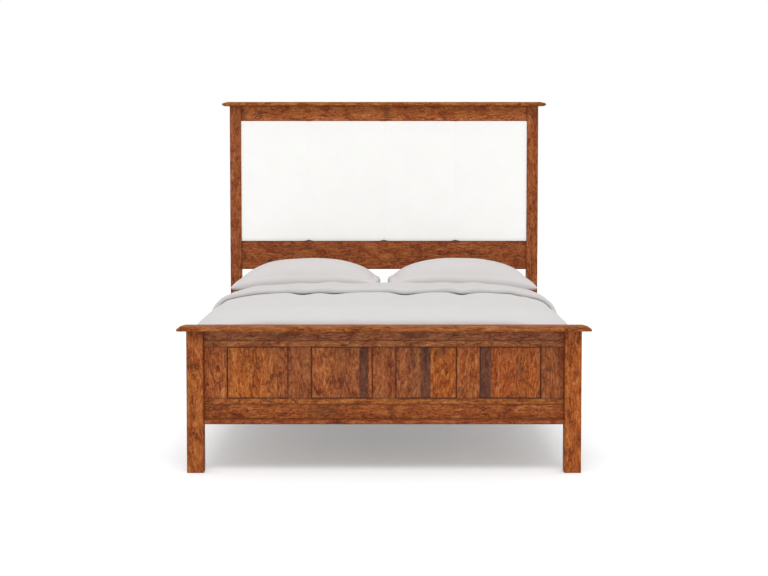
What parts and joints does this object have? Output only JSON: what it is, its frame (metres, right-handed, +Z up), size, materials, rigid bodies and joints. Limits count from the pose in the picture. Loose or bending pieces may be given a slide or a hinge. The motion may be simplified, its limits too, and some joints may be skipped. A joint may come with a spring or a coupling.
{
  "type": "panel bed",
  "caption": "Queen-size wooden panel bed: tall headboard with an upholstered panel, low footboard with recessed panels, side rails, slats, mattress, duvet and pillows.",
  "frame": {"origin": "on the floor under the middle of the whole bed", "axes": "+Z up, +Y from the footboard towards the headboard, +X to the right of someone who looks at the footboard"},
  "size_m": [1.726, 2.288, 1.634],
  "materials": {
    "stained_wood": "satin",
    "plain_wood": "matte",
    "plywood": "matte",
    "upholstery_fabric": "matte",
    "bedding_cotton": "matte",
    "mattress_cloth": "matte",
    "zinc_steel": "satin"
  },
  "bodies": {
    "bed": {"beam_hanger_foot": "zinc_steel", "beam_hanger_head": "zinc_steel", "cap_dowels": "plain_wood", "centre_beam": "plain_wood", "duvet": "bedding_cotton", "duvet_fold": "bedding_cotton", "footboard_base_strip": "stained_wood", "footboard_bottom_rail_narrow_board": "stained_wood", "footboard_bottom_rail_wide_board": "stained_wood", "footboard_cap": "stained_wood", "footboard_end_stile_left": "stained_wood", "footboard_end_stile_right": "stained_wood", "footboard_middle_stile_1": "stained_wood", "footboard_middle_stile_2": "stained_wood", "footboard_middle_stile_3": "stained_wood", "footboard_panel_1": "stained_wood", "footboard_panel_2": "stained_wood", "footboard_panel_3": "stained_wood", "footboard_panel_4": "stained_wood", "footboard_post_left": "stained_wood", "footboard_post_right": "stained_wood", "footboard_top_rail_narrow_board": "stained_wood", "footboard_top_rail_wide_board": "stained_wood", "headboard_backing": "plywood", "headboard_cap": "stained_wood", "headboard_lower_rail": "stained_wood", "headboard_post_left": "stained_wood", "headboard_post_right": "stained_wood", "headboard_stretcher": "stained_wood", "headboard_top_rail": "stained_wood", "headboard_upholstery_1": "upholstery_fabric", "headboard_upholstery_2": "upholstery_fabric", "headboard_upholstery_3": "upholstery_fabric", "headboard_upholstery_4": "upholstery_fabric", "mattress": "mattress_cloth", "pillow_left": "bedding_cotton", "pillow_right": "bedding_cotton", "plate_screws": "zinc_steel", "post_slot_plates": "zinc_steel", "rail_hook_plates": "zinc_steel", "side_rail_left": "stained_wood", "side_rail_right": "stained_wood", "slat_01": "plain_wood", "slat_02": "plain_wood", "slat_03": "plain_wood", "slat_04": "plain_wood", "slat_05": "plain_wood", "slat_06": "plain_wood", "slat_07": "plain_wood", "slat_08": "plain_wood", "slat_09": "plain_wood", "slat_10": "plain_wood", "slat_ledger_left": "plain_wood", "slat_ledger_right": "plain_wood", "slat_screws": "zinc_steel", "threaded_inserts": "zinc_steel"},
    "bolt_foot_left": {"levelling_bolt_foot_left": "zinc_steel"},
    "bolt_foot_right": {"levelling_bolt_foot_right": "zinc_steel"},
    "bolt_head_left": {"levelling_bolt_head_left": "zinc_steel"},
    "bolt_head_right": {"levelling_bolt_head_right": "zinc_steel"}
  },
  "joints": [
    {"name": "wind_out_foot_left", "type": "slide", "parent": "bed", "child": "bolt_foot_left", "axis": [0, 0, -1], "range_m": [0, 0.012]},
    {"name": "wind_out_foot_right", "type": "slide", "parent": "bed", "child": "bolt_foot_right", "axis": [0, 0, -1], "range_m": [0, 0.012]},
    {"name": "wind_out_head_left", "type": "slide", "parent": "bed", "child": "bolt_head_left", "axis": [0, 0, -1], "range_m": [0, 0.012]},
    {"name": "wind_out_head_right", "type": "slide", "parent": "bed", "child": "bolt_head_right", "axis": [0, 0, -1], "range_m": [0, 0.012]}
  ]
}
